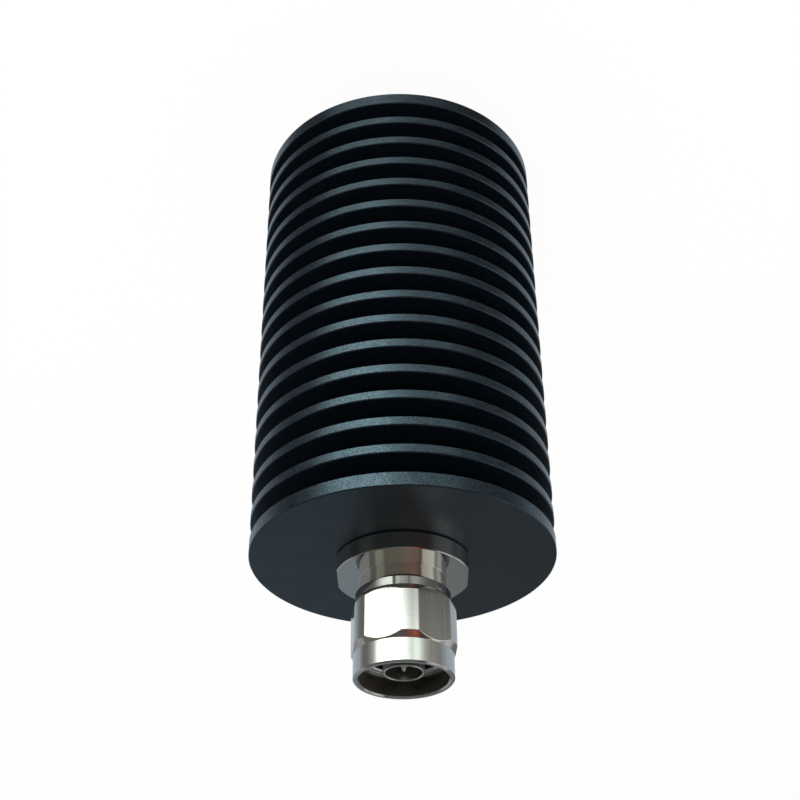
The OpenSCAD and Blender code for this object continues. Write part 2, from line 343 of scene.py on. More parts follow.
def rim_edges(piece, faces):
    """Edges that only one of these faces has."""
    seen = {}
    for face in faces:
        for key in face.edge_keys:
            seen[key] = seen.get(key, 0) + 1
    return [edge.index for edge in piece.data.edges if seen.get(edge.key) == 1]


def soften(piece, faces, width):
    """Bevels the edges round these faces."""
    pick(piece, "EDGE", rim_edges(piece, faces))
    bpy.ops.mesh.bevel(offset=width, segments=2, affect="EDGES", clamp_overlap=False)
    bpy.ops.object.mode_set(mode="OBJECT")


def scale_by(piece, factor):
    deselect()
    bpy.context.view_layer.objects.active = piece
    piece.select_set(True)
    piece.scale = (factor, factor, factor)
    bpy.ops.object.transform_apply(location=False, rotation=False, scale=True)


def smooth(piece, degrees=30):
    """Shades turned surfaces round, and keeps the wider faces true up to their chamfers. The
    modifier passes over faces of a square millimetre, so the piece is in millimetres for it."""
    scale_by(piece, 1 / MM)
    bpy.ops.object.shade_smooth_by_angle(angle=math.radians(degrees))
    apply(piece, "WEIGHTED_NORMAL", weight=100, keep_sharp=True)
    scale_by(piece, MM)


def settle(piece, body, slot, node, *materials):
    """Gives a finished piece its materials, its body and the node that it stands for. The slot is
    not used.
    """
    piece.data.materials.clear()
    for material in materials:
        piece.data.materials.append(material)
    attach(piece, body)
    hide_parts(node)


def flats(piece, distance, low, high):
    """Upright faces at this distance from the axis, between two heights."""
    chosen = []
    for face in piece.data.polygons:
        away = face.center.x * face.normal.x + face.center.y * face.normal.y
        upright = abs(face.normal.z) < 0.02 and low < face.center.z < high
        if upright and abs(away - distance) < 0.01 * MM:
            chosen.append(face)
    return chosen


# ---------------------------------------------------------------- finishes


def add_node(tree, kind, inputs=None, **settings):
    """Adds one node, with its settings and with each input's value or link."""
    node = tree.nodes.new(kind)
    for name, value in settings.items():
        setattr(node, name, value)
    for name, value in (inputs or {}).items():
        if isinstance(value, bpy.types.NodeSocket):
            tree.links.new(value, node.inputs[name])
        else:
            node.inputs[name].default_value = value
    return node


def new_material(name):
    material = bpy.data.materials.new(name)
    material.use_nodes = True
    material.node_tree.nodes.clear()
    return material, material.node_tree


def output(tree, shader):
    add_node(tree, "ShaderNodeOutputMaterial", {"Surface": shader})


def rgba(value):
    return (*value, 1)


def turned_lines(tree, spacing):
    """Noise that changes along a turned surface's outline only, as a lathe tool's marks do."""
    place = add_node(tree, "ShaderNodeTexCoord").outputs["Object"]
    parts = add_node(tree, "ShaderNodeSeparateXYZ", {"Vector": place}).outputs
    flat = add_node(tree, "ShaderNodeCombineXYZ", {"X": parts["X"], "Y": parts["Y"]})
    radius = add_node(
        tree, "ShaderNodeVectorMath", {0: flat.outputs["Vector"]}, operation="LENGTH"
    )
    lines = add_node(
        tree,
        "ShaderNodeCombineXYZ",
        {"X": radius.outputs["Value"], "Y": parts["Z"]},
    )
    return add_node(
        tree,
        "ShaderNodeTexNoise",
        {"Vector": lines.outputs["Vector"], "Scale": 1 / spacing, "Detail": 3.0},
    ).outputs["Fac"]


def black_anodised():
    """Black anodised aluminium: a dark, slightly blue oxide skin with a satin gloss. The discs'
    rims are fine blasted, which gives them a light sparkle, and their faces are turned smooth."""
    sink = bpy.context.scene.attenuator_sink
    finish = bpy.context.scene.attenuator_finish
    material, tree = new_material("black_anodised_blasted")
    place = add_node(tree, "ShaderNodeTexCoord").outputs["Object"]
    parts = add_node(tree, "ShaderNodeSeparateXYZ", {"Vector": place}).outputs
    flat = add_node(tree, "ShaderNodeCombineXYZ", {"X": parts["X"], "Y": parts["Y"]})
    radius = add_node(
        tree, "ShaderNodeVectorMath", {0: flat.outputs["Vector"]}, operation="LENGTH"
    ).outputs["Value"]
    on_rim = add_node(
        tree,
        "ShaderNodeMapRange",
        {"Value": radius, "From Min": sink.disc - 0.12 * MM, "From Max": sink.disc - 0.06 * MM},
    ).outputs["Result"]
    # Real blasting leaves dents of about 0.05 mm. They are drawn at 0.24 mm, so that they show.
    grain = add_node(
        tree, "ShaderNodeTexNoise", {"Vector": place, "Scale": 1 / (0.24 * MM), "Detail": 1.0}
    ).outputs["Fac"]
    patches = add_node(
        tree, "ShaderNodeTexNoise", {"Vector": place, "Scale": 1 / (6 * MM), "Detail": 2.0}
    ).outputs["Fac"]
    sparkle = add_node(
        tree,
        "ShaderNodeMapRange",
        {"Value": grain, "From Min": 0.45, "From Max": 0.7, "To Max": on_rim},
        interpolation_type="SMOOTHSTEP",
    ).outputs["Result"]
    base = add_node(
        tree,
        "ShaderNodeMix",
        {"Factor": sparkle, "A": rgba(finish.anodised), "B": rgba(finish.anodised_grain)},
        data_type="RGBA",
    )
    gloss = add_node(
        tree, "ShaderNodeMapRange", {"Value": on_rim, "To Min": 0.38, "To Max": 0.24}
    ).outputs["Result"]
    wear = add_node(
        tree,
        "ShaderNodeMapRange",
        {"Value": patches, "From Min": 0.3, "From Max": 0.7, "To Min": 0.86, "To Max": 1.05},
    ).outputs["Result"]
    roughness = add_node(
        tree, "ShaderNodeMath", {0: gloss, 1: wear}, operation="MULTIPLY"
    ).outputs["Value"]
    dullest, brightest = (
        add_node(
            tree, "ShaderNodeMapRange", {"Value": on_rim, "To Min": on_face, "To Max": on_edge}
        ).outputs["Result"]
        for on_face, on_edge in ((0.3, 0.25), (0.5, 0.84))
    )
    shine = add_node(
        tree,
        "ShaderNodeMapRange",
        {
            "Value": grain,
            "From Min": 0.32,
            "From Max": 0.68,
            "To Min": dullest,
            "To Max": brightest,
        },
    ).outputs["Result"]
    depth = add_node(
        tree, "ShaderNodeMapRange", {"Value": on_rim, "To Min": 0.08, "To Max": 0.24}
    ).outputs["Result"]
    dents = add_node(
        tree,
        "ShaderNodeBump",
        {"Strength": depth, "Distance": 0.03 * MM, "Height": grain},
    ).outputs["Normal"]
    lines = add_node(
        tree,
        "ShaderNodeBump",
        {
            "Strength": 0.1,
            "Distance": 0.02 * MM,
            "Height": turned_lines(tree, 0.5 * MM),
            "Normal": dents,
        },
    ).outputs["Normal"]
    shader = add_node(
        tree,
        "ShaderNodeBsdfPrincipled",
        {
            "Base Color": base.outputs["Result"],
            "Roughness": roughness,
            "IOR": 1.76,
            "Specular IOR Level": shine,
            "Specular Tint": rgba(linear("#c8ebff")),
            "Normal": lines,
        },
    )
    output(tree, shader.outputs["BSDF"])
    return material


def plated(name, tint, roughness, line_spacing, line_depth):
    """A bright plated metal on a turned part: mirror-like, with the lathe's fine marks in it."""
    material, tree = new_material(name)
    lines = turned_lines(tree, line_spacing)
    place = add_node(tree, "ShaderNodeTexCoord").outputs["Object"]
    haze = add_node(
        tree, "ShaderNodeTexNoise", {"Vector": place, "Scale": 1 / (2.5 * MM), "Detail": 3.0}
    ).outputs["Fac"]
    gloss = add_node(
        tree,
        "ShaderNodeMapRange",
        {
            "Value": haze,
            "From Min": 0.3,
            "From Max": 0.7,
            "To Min": roughness * 0.8,
            "To Max": roughness * 1.2,
        },
    ).outputs["Result"]
    shade = add_node(
        tree,
        "ShaderNodeMix",
        {
            "Factor": lines,
            "A": rgba([0.94 * v for v in tint]),
            "B": rgba(tint),
        },
        data_type="RGBA",
    )
    bump = add_node(
        tree,
        "ShaderNodeBump",
        {"Strength": 0.35, "Distance": line_depth, "Height": lines},
    ).outputs["Normal"]
    shader = add_node(
        tree,
        "ShaderNodeBsdfPrincipled",
        {
            "Base Color": shade.outputs["Result"],
            "Metallic": 1.0,
            "Roughness": gloss,
            "Normal": bump,
        },
    )
    output(tree, shader.outputs["BSDF"])
    return material


def milled_nickel():
    """Bright nickel over milled flats: the cutter's fine lines run along the nut's axis."""
    finish = bpy.context.scene.attenuator_finish
    material, tree = new_material("bright_nickel_milled")
    place = add_node(tree, "ShaderNodeTexCoord").outputs["Object"]
    along = add_node(
        tree, "ShaderNodeMapping", {"Vector": place, "Scale": (1.0, 1.0, 0.02)}
    ).outputs["Vector"]
    lines = add_node(
        tree, "ShaderNodeTexNoise", {"Vector": along, "Scale": 1 / (0.35 * MM), "Detail": 3.0}
    ).outputs["Fac"]
    lines = add_node(
        tree, "ShaderNodeMapRange", {"Value": lines, "From Min": 0.35, "From Max": 0.65}
    ).outputs["Result"]
    shade = add_node(
        tree,
        "ShaderNodeMix",
        {
            "Factor": lines,
            "A": rgba([0.8 * v for v in finish.nickel]),
            "B": rgba(finish.nickel),
        },
        data_type="RGBA",
    )
    bump = add_node(
        tree,
        "ShaderNodeBump",
        {"Strength": 0.4, "Distance": 0.004 * MM, "Height": lines},
    ).outputs["Normal"]
    shader = add_node(
        tree,
        "ShaderNodeBsdfPrincipled",
        {
            "Base Color": shade.outputs["Result"],
            "Metallic": 1.0,
            "Roughness": 0.12,
            "Normal": bump,
        },
    )
    output(tree, shader.outputs["BSDF"])
    return material


def moulded(name, tint, roughness, grain, subsurface=0.0):
    """A dull non-metal with a faint cloudiness and grain: polymer, rubber or fired ceramic."""
    material, tree = new_material(name)
    place = add_node(tree, "ShaderNodeTexCoord").outputs["Object"]
    cloud = add_node(
        tree, "ShaderNodeTexNoise", {"Vector": place, "Scale": 1 / grain, "Detail": 4.0}
    ).outputs["Fac"]
    shade = add_node(
        tree,
        "ShaderNodeMix",
        {"Factor": cloud, "A": rgba([0.88 * v for v in tint]), "B": rgba(tint)},
        data_type="RGBA",
    )
    bump = add_node(
        tree,
        "ShaderNodeBump",
        {"Strength": 0.3, "Distance": 0.02 * MM, "Height": cloud},
    ).outputs["Normal"]
    shader = add_node(
        tree,
        "ShaderNodeBsdfPrincipled",
        {
            "Base Color": shade.outputs["Result"],
            "Roughness": roughness,
            "Subsurface Weight": subsurface,
            "Subsurface Scale": 0.5 * MM,
            "Normal": bump,
        },
    )
    output(tree, shader.outputs["BSDF"])
    return material


def finish_nodes(material, *names):
    """Gives CAD nodes their material, in the slots that they have."""
    for name in names:
        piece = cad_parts[name]
        if not piece.material_slots:
            piece.data.materials.append(material)
        for slot in piece.material_slots:
            slot.material = material


# ---------------------------------------------------------------- operators


class ATTENUATOR_OT_heat_sink(bpy.types.Operator):
    """Turn the heat sink with its broken edges and anodise it black."""

    bl_idname = "attenuator.heat_sink"
    bl_label = "Heat sink"

    def execute(self, context):
        sink = context.scene.attenuator_sink
        low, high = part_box("heat_sink")
        discs = [(low.z, low.z + sink.plate)]
        first = low.z + sink.plate + sink.pitch - sink.fin
        for fin in range(sink.fins):
            discs.append((first + fin * sink.pitch, first + fin * sink.pitch + sink.fin))
        discs.append((high.z - sink.plate, high.z))
        points = [(sink.bore, low.z, sink.edge)]
        for bottom, top in discs:
            if bottom > low.z:
                points.append((sink.core, bottom, sink.root))
            points.append((sink.disc, bottom, sink.edge))
            points.append((sink.disc, top, sink.edge))
            if top < high.z:
                points.append((sink.core, top, sink.root))
        points.append((sink.bore, high.z, sink.edge))
        piece = lathe("heat_sink_turned", points, steps=240, corner_steps=1)
        smooth(piece)
        settle(piece, "attenuator", "black_anodised", "heat_sink", black_anodised())
        return {"FINISHED"}


def bright_nickel(name, roughness):
    """Bright nickel over turned brass: a warm grey mirror with crisp reflections."""
    finish = bpy.context.scene.attenuator_finish
    return plated(name, finish.nickel, roughness, 0.4 * MM, 0.003 * MM)


class ATTENUATOR_OT_flanges(bpy.types.Operator):
    """Turn the two mounting flanges and mill their wrench flats."""

    bl_idname = "attenuator.flanges"
    bl_label = "Mounting flanges"

    def execute(self, context):
        flange = context.scene.attenuator_flange
        nickel = bright_nickel("bright_nickel_flange", 0.09)
        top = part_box("heat_sink")[1].z
        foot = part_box("heat_sink")[0].z
        spigot = context.scene.attenuator_sink.bore
        for node, base, way in (("plug_flange", top, 1), ("jack_flange", foot, -1)):
            points = [
                (flange.bore, flange.thickness + flange.step),
                (flange.bore, -flange.spigot),
                (spigot, -flange.spigot, 0.2 * MM),
                (spigot, 0),
                (flange.radius, 0, flange.foot),
                (flange.radius, flange.thickness, flange.edge),
                (flange.neck, flange.thickness),
                (flange.neck, flange.thickness + flange.step, flange.joint),
            ]
            heights = [(r, base + way * h, *rest) for r, h, *rest in points]
            piece = lathe(node + "_turned", heights, corner_steps=1)
            low, high = sorted((base - way * CLEAR, base + way * (flange.thickness + CLEAR)))
            reach = flange.radius + MM
            for side in (-1, 1):
                near, far = sorted((side * flange.flat, side * reach))
                cut(piece, box_cutter("flat_cutter", (near, -reach, low), (far, reach, high)))
            close_up(piece)
            smooth(piece)
            settle(piece, "attenuator", "nickel_plate", node, nickel)
        return {"FINISHED"}


class ATTENUATOR_OT_plug_body(bpy.types.Operator):
    """Turn the plug's neck and the grooved stub in front of it."""

    bl_idname = "attenuator.plug_body"
    bl_label = "Plug body"

    def execute(self, context):
        flange = context.scene.attenuator_flange
        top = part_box("heat_sink")[1].z
        bore, bead, seat = 3.5 * MM, 4.6 * MM, 6.0 * MM
        stub, groove = 7.05 * MM, 6.25 * MM
        back, front = -3 * MM, 14.9 * MM
        bead_low, bead_high = 8.4 * MM, 11.4 * MM
        points = [
            (bead, back),
            (flange.bore, back),
            (flange.bore, flange.thickness + flange.step),
            (flange.neck_foot, flange.thickness + flange.step),
            (flange.neck, flange.neck_top, 0.1 * MM),
            (stub, flange.neck_top),
            (stub, 9.9 * MM, 0.05 * MM),
            (groove, 9.9 * MM),
            (groove, 10.9 * MM),
            (stub, 10.9 * MM, 0.05 * MM),
            (stub, front, 0.15 * MM),
            (seat, front),
            (seat, bead_high),
            (bead, bead_high),
            (bead, bead_low),
            (bore, bead_low),
            (bore, 0),
            (bead, 0),
        ]
        heights = [(r, top + h, *rest) for r, h, *rest in points]
        piece = lathe("plug_body_turned", heights, corner_steps=1)
        smooth(piece)
        nickel = bright_nickel("bright_nickel_neck", 0.08)
        settle(piece, "attenuator", "nickel_plate", "plug_body", nickel)
        return {"FINISHED"}


class ATTENUATOR_OT_coupling_nut(bpy.types.Operator):
    """Turn, mill and thread the coupling nut."""

    bl_idname = "attenuator.coupling_nut"
    bl_label = "Coupling nut"

    def execute(self, context):
        nut, thread = context.scene.attenuator_nut, context.scene.attenuator_thread
        finish = context.scene.attenuator_finish
        low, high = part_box("coupling_nut")
        rear, front = low.z, high.z
        hex_rear = rear + nut.collar_length
        hex_front = hex_rear + nut.hexagon
        floor = front - nut.mouth_depth
        thread_rear = rear + 6.1 * MM
        relief_rear = thread_rear - 1.2 * MM
        relief, bore, groove = 8.0 * MM, 7.12 * MM, 7.85 * MM
        groove_rear, groove_front = rear + 2.2 * MM, rear + 3.6 * MM
        lead_in = 0.5 * MM
        piece = lathe(
            "coupling_nut_threaded",
            [
                (bore, rear, nut.edge),
                (nut.collar, rear, nut.edge),
                (nut.collar_front, hex_rear, 0.05 * MM),
                (nut.land, hex_rear + nut.rear_cone, nut.edge),
                (nut.land, hex_front - nut.front_cone, nut.edge),
                (nut.barrel, hex_front, 0.05 * MM),
                (nut.barrel, front, nut.rim),
                (nut.mouth, front, nut.rim),
                (nut.mouth, floor),
                (thread.crest + lead_in, floor),
                (thread.crest, floor - lead_in),
                (thread.crest, thread_rear),
                (relief, thread_rear),
                (relief, relief_rear),
                (bore, relief_rear),
                (bore, groove_front),
                (groove, groove_front),
                (groove, groove_rear),
                (bore, groove_rear),
            ],
            corner_steps=1,
        )
        reach = 14 * MM
        for side in range(6):
            flat = box_cutter(
                "flat_cutter",
                (nut.flat, -reach / 2, hex_rear + CLEAR),
                (reach, reach / 2, hex_front - CLEAR),
                nut.turn + (side + 0.5) * TURN / 6,
            )
            cut(piece, flat)
        soften(piece, flats(piece, nut.flat, hex_rear, hex_front), nut.milled_edge)
        flat_root = thread.pitch / 16
        inner = thread.crest - 0.15 * MM  # past the crests
        wide = flat_root + (thread.root - inner) * math.tan(FLANK)
        tap = thread_cutter(
            "thread_tap",
            [(inner, -wide), (thread.root, -flat_root), (thread.root, flat_root), (inner, wide)],
            thread_rear - thread.pitch / 2,
            math.ceil((floor - thread_rear) / thread.pitch) + 1,
        )
        cut(piece, tap)
        close_up(piece)
        smooth(piece)
        settle(
            piece,
            "nut",
            "nut_nickel",
            "coupling_nut",
            bright_nickel("bright_nickel_nut", 0.08),
            milled_nickel(),
            # Rougher nickel for the mouth's wall, with its colour darkened as painted shade in the
            # recess.
            plated("dull_painted_shade_nickel_bore", finish.dull_painted_shade_nickel, 0.34, 0.3 * MM, 0.004 * MM),
        )
        # The mouth's wall takes that rougher nickel with its painted shade.
        for face in piece.data.polygons:
            if abs(face.center.xy.length - nut.mouth) < CLEAR and face.center.z > floor:
                face.material_index = 2
        for face in flats(piece, nut.flat, hex_rear, hex_front):
            face.material_index = 1
        return {"FINISHED"}


class ATTENUATOR_OT_jack_shell(bpy.types.Operator):
    """Turn and thread the jack's shell."""

    bl_idname = "attenuator.jack_shell"
    bl_label = "Jack shell"

    def execute(self, context):
        thread = context.scene.attenuator_thread
        low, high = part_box("jack_body")
        end, top = low.z, high.z
        shank, neck, relief = 7.0 * MM, 8.7 * MM, 7.2 * MM
        bore, bead_bore, mouth = 3.5 * MM, 4.6 * MM, 4.06 * MM
        neck_top, neck_low = end + 16.25 * MM, end + 14.5 * MM
        thread_top = end + 13.3 * MM
        plane, bead_low = end + 9.1 * MM, end + 11.1 * MM
        chamfer, edge = 0.6 * MM, 0.15 * MM
        piece = lathe(
            "jack_shell_threaded",
            [
                (bead_bore, top),
                (bead_bore, bead_low),
                (bore, bead_low),
                (bore, plane),
                (mouth, plane),
                (mouth, end, edge),
                (thread.jack_crest - chamfer, end, edge),
                (thread.jack_crest, end + chamfer),
                (thread.jack_crest, thread_top - chamfer),
                (thread.jack_crest - chamfer, thread_top),
                (relief, thread_top),
                (relief, neck_low),
                (neck, neck_low, edge),
                (neck, neck_top, edge),
                (shank, neck_top),
                (shank, top),
            ],
        )
        outer = thread.jack_crest + 0.12 * MM  # past the crests
        flat_root = thread.pitch / 16
        wide = flat_root + (outer - thread.jack_root) * math.tan(FLANK)
        wide = min(wide, 0.49 * thread.pitch)  # one turn stays clear of the next
        die = thread_cutter(
            "thread_die",
            [
                (outer, -wide),
                (outer, wide),
                (thread.jack_root, flat_root),
                (thread.jack_root, -flat_root),
            ],
            end - thread.pitch / 2,
            math.ceil((thread_top - end) / thread.pitch) + 1,
        )
        cut(piece, die)
        close_up(piece)
        smooth(piece)
        nickel = bright_nickel("bright_nickel_jack", 0.1)
        settle(piece, "attenuator", "nickel_plate", "jack_body", nickel)
        return {"FINISHED"}


class ATTENUATOR_OT_contacts(bpy.types.Operator):
    """Finish the contacts, the chip's leads and the insulating pieces of the line."""

    bl_idname = "attenuator.contacts"
    bl_label = "Coaxial line"

    def execute(self, context):
        finish = context.scene.attenuator_finish
        # Silver plate is a soft, white mirror that blurs more than the nickel does.
        silver = plated("silver_plate", finish.silver, 0.28, 0.3 * MM, 0.003 * MM)
        finish_nodes(
            silver, "outer_contact", "plug_contact", "jack_contact", "input_tab", "output_tab"
        )
        # Turned PTFE is waxy white and lets a little light in.
        finish_nodes(
            moulded("ptfe", finish.fluoropolymer, 0.45, 1.5 * MM, subsurface=0.2),
            "plug_front_bead",
            "plug_rear_bead",
            "jack_front_bead",
            "jack_rear_bead",
        )
        # Moulded rubber is dull and nearly black.
        finish_nodes(moulded("silicone_rubber", finish.rubber, 0.55, 0.6 * MM), "plug_gasket")
        # Spring bronze and turned aluminium are bare metals that show the tool's marks.
        finish_nodes(
            plated("spring_bronze", finish.bronze, 0.25, 0.3 * MM, 0.004 * MM), "retaining_ring"
        )
        finish_nodes(
            plated("turned_aluminium", finish.aluminium, 0.3, 0.4 * MM, 0.006 * MM),
            "carrier",
            "jack_spacer",
        )
        return {"FINISHED"}


class ATTENUATOR_OT_element(bpy.types.Operator):
    """Finish the attenuator chip and what fastens it."""

    bl_idname = "attenuator.element"
    bl_label = "Attenuator element"

    def execute(self, context):
        finish = context.scene.attenuator_finish
        # Rolled copper is warm and satin, fired ceramic matt and off-white, and steel greyer than
        # the nickel.
        finish_nodes(plated("copper", finish.copper, 0.28, 0.5 * MM, 0.004 * MM), "chip_flange")
        finish_nodes(
            moulded("fired_ceramic", finish.ceramic, 0.6, 0.5 * MM), "chip_substrate", "chip_lid"
        )
        finish_nodes(
            plated("stainless_steel", finish.steel, 0.22, 0.3 * MM, 0.004 * MM),
            "chip_washers",
            "chip_screws",
        )
        return {"FINISHED"}


# The cards that the metal reflects, by azimuth in degrees, 0 in front and + to the picture's
# right, as brightness and tint, or as brightness alone where a card is white. SIDES is seen in
# upright surfaces, BACK in level ones and ABOVE in surfaces between the two. The soft box, BOX,
# comes on top of SIDES at the heights in BOX_HEIGHT, and BARS darken the top of both.
SIDES = [
    (-180, 0.64, "#e6f3ff"),
    (-135, 0.60, "#e6f3ff"),
    (-118, 0.52, "#e6f3ff"),
    (-108, 0.28, "#ecf6ff"),
    (-98, 0.14),
    (-88, 0.10),
    (-72, 0.07),
    (-64, 0.15),
    (-45, 0.35),
    (-25, 0.58),
    (-8, 0.62),
    (5, 0.50),
    (20, 0.30),
    (40, 0.17),
    (62, 0.08, "#f8fff2"),
    (80, 0.07, "#f8fff2"),
    (88, 0.10, "#f8fff2"),
    (92, 0.15, "#f4fbf8"),
    (99, 0.30, "#eef7ff"),
    (106, 0.46, "#e6f3ff"),
    (116, 0.55, "#e6f3ff"),
    (180, 0.64, "#e6f3ff"),
]
BOX = [
    (-180, 0.0),
    (-104, 0.0),
    (-88, 0.02),
    (-79, 0.05),
    (-70, 0.10),
    (-63, 0.25),
    (-56, 0.52, "#f2fff9"),
    (-46, 0.90, "#f2fff9"),
    (-13, 1.00, "#f2fff9"),
    (-6, 0.42, "#f2fff9"),
    (2, 0.36, "#f2fff9"),
    (8, 0.26, "#f2fff9"),
    (14, 0.21, "#f2fff9"),
    (20, 0.18, "#f2fff9"),
    (27, 0.24, "#f2fff9"),
    (34, 0.24, "#f2fff9"),
    (42, 0.15, "#f2fff9"),
    (50, 0.08),
    (63, 0.05),
    (75, 0.05),
    (92, 0.03),
    (106, 0.0),
    (180, 0.0),
]
BARS = [
    (-180, 0.0),
    (-25.5, 0.0),
    (-23, 0.92),
    (-17, 0.92),
    (-15, 0.5),
    (12, 0.45),
    (14, 0.75),
    (16, 0.75),
    (18, 0.25),
    (30, 0.0),
    (180, 0.0),
]
BACK = [
    (-180, 0.25, "#e6f3ff"),
    (-172, 0.37, "#dceeff"),
    (-135, 0.38, "#f0f6ff"),
    (-100, 0.42, "#f4f4ff"),
    (-96, 0.20, "#f6fff6"),
    (-78, 0.20, "#f6fff6"),
    (-73, 0.42, "#f8fff2"),
    (-54, 0.40, "#f8fff2"),
    (-48, 0.21, "#ffffee"),
    (-4, 0.22, "#fffae8"),
    (8, 0.28, "#ffe8de"),
    (38, 0.27, "#ffe2d6"),
    (50, 0.17, "#ffe0d4"),
    (55, 0.75, "#fffdf8"),
    (89, 0.98, "#fffdfa"),
    (94, 0.40, "#f4fffa"),
    (103, 0.42, "#f6faff"),
    (110, 0.66, "#f6faff"),
    (119, 0.60, "#f6faff"),
    (130, 0.21, "#f6faff"),
    (172, 0.165, "#fcfaf6"),
    (180, 0.25, "#e6f3ff"),
]
ABOVE = [
    (-180, 0.30),
    (-145, 0.30),
    (-128, 0.14),
    (-75, 0.14),
    (-58, 0.10),
    (-32, 0.12, "#f4f4ff"),
    (-12, 0.12),
    (6, 0.15, "#ffc8c0"),
    (20, 0.24, "#ffa890"),
    (30, 0.42, "#ff9078"),
    (37, 0.30, "#ff9078"),
    (44, 0.12, "#ffc0b0"),
    (52, 0.06),
    (70, 0.10),
    (80, 0.50),
    (95, 0.60),
    (104, 0.50),
    (114, 0.30),
    (125, 0.50),
    (140, 0.50),
    (180, 0.30),
]
# Brightness of the soft box by elevation in degrees.
BOX_HEIGHT = [
    (-90, 0.0),
    (-46, 0.0),
    (-43, 0.3),
    (-40, 0.8),
    (-36, 1.7),
    (-32, 3.5),
    (-30.5, 4.0),
    (-28.5, 2.6),
    (-26.5, 1.1),
    (-25.2, 0.8),
    (-24.5, 1.9),
    (-23.6, 2.1),
    (-22.7, 2.6),
    (-22.1, 3.5),
    (-21.4, 5.2),
    (-19.9, 5.6),
    (-18.6, 1.9),
    (-16.5, 1.1),
    (-15.5, 0.8),
    (-14, 0.0),
    (90, 0.0),
]
# Elevations in degrees between which each band of cards begins.
BARS_BEGIN = (-19.8, -18.8)
BACK_BEGINS = (-12, -2)
ABOVE_BEGINS = (33, 42)
TOP_BEGINS = (61.8, 63.2)
BAR_LEVEL = 0.05
TOP_LEVEL = 0.16

# The camera's place in millimetres and its two directions, as fitted to the discs' rims.
CAMERA_PLACE = (-1.6524, -244.6843, 243.8287)
CAMERA_RIGHT = (-0.999873, 0.01331, 0.008724)
CAMERA_UP = (-0.014625, -0.55228, -0.833531)


def seen(tree):
    """1 for what the camera sees, itself or in metal and glass, and 0 for light on the object."""
    path = add_node(tree, "ShaderNodeLightPath").outputs
    direct = add_node(
        tree,
        "ShaderNodeMath",
        {0: path["Is Camera Ray"], 1: path["Is Glossy Ray"]},
        operation="MAXIMUM",
    ).outputs["Value"]
    return add_node(
        tree,
        "ShaderNodeMath",
        {0: direct, 1: path["Is Transmission Ray"]},
        operation="MAXIMUM",
    ).outputs["Value"]


def ramp(tree, place, stops):
    """A colour ramp from a list of places from 0 to 1, each with its brightness and any tint."""
    node = add_node(tree, "ShaderNodeValToRGB", {"Fac": place})
    elements = node.color_ramp.elements
    while len(elements) < len(stops):
        elements.new(0.5)
    for element, (spot, level, *tint) in zip(elements, stops):
        element.position = spot
        element.color = rgba([level * v for v in linear(*tint or [WHITE])])
    return node.outputs["Color"]


def round_about(stops):
    """Places of azimuths on a ramp that runs from -180 to 180 degrees."""
    return [(azimuth / 360 + 0.5, *look) for azimuth, *look in stops]


def step_up(tree, height, low, high):
    """0 below one elevation in degrees, 1 above another, from the sine of the elevation."""
    return add_node(
        tree,
        "ShaderNodeMapRange",
        {
            "Value": height,
            "From Min": math.sin(math.radians(low)),
            "From Max": math.sin(math.radians(high)),
        },
        interpolation_type="SMOOTHSTEP",
    ).outputs["Result"]


def blend(tree, factor, below, above):
    return add_node(
        tree, "ShaderNodeMix", {"Factor": factor, "A": below, "B": above}, data_type="RGBA"
    ).outputs["Result"]


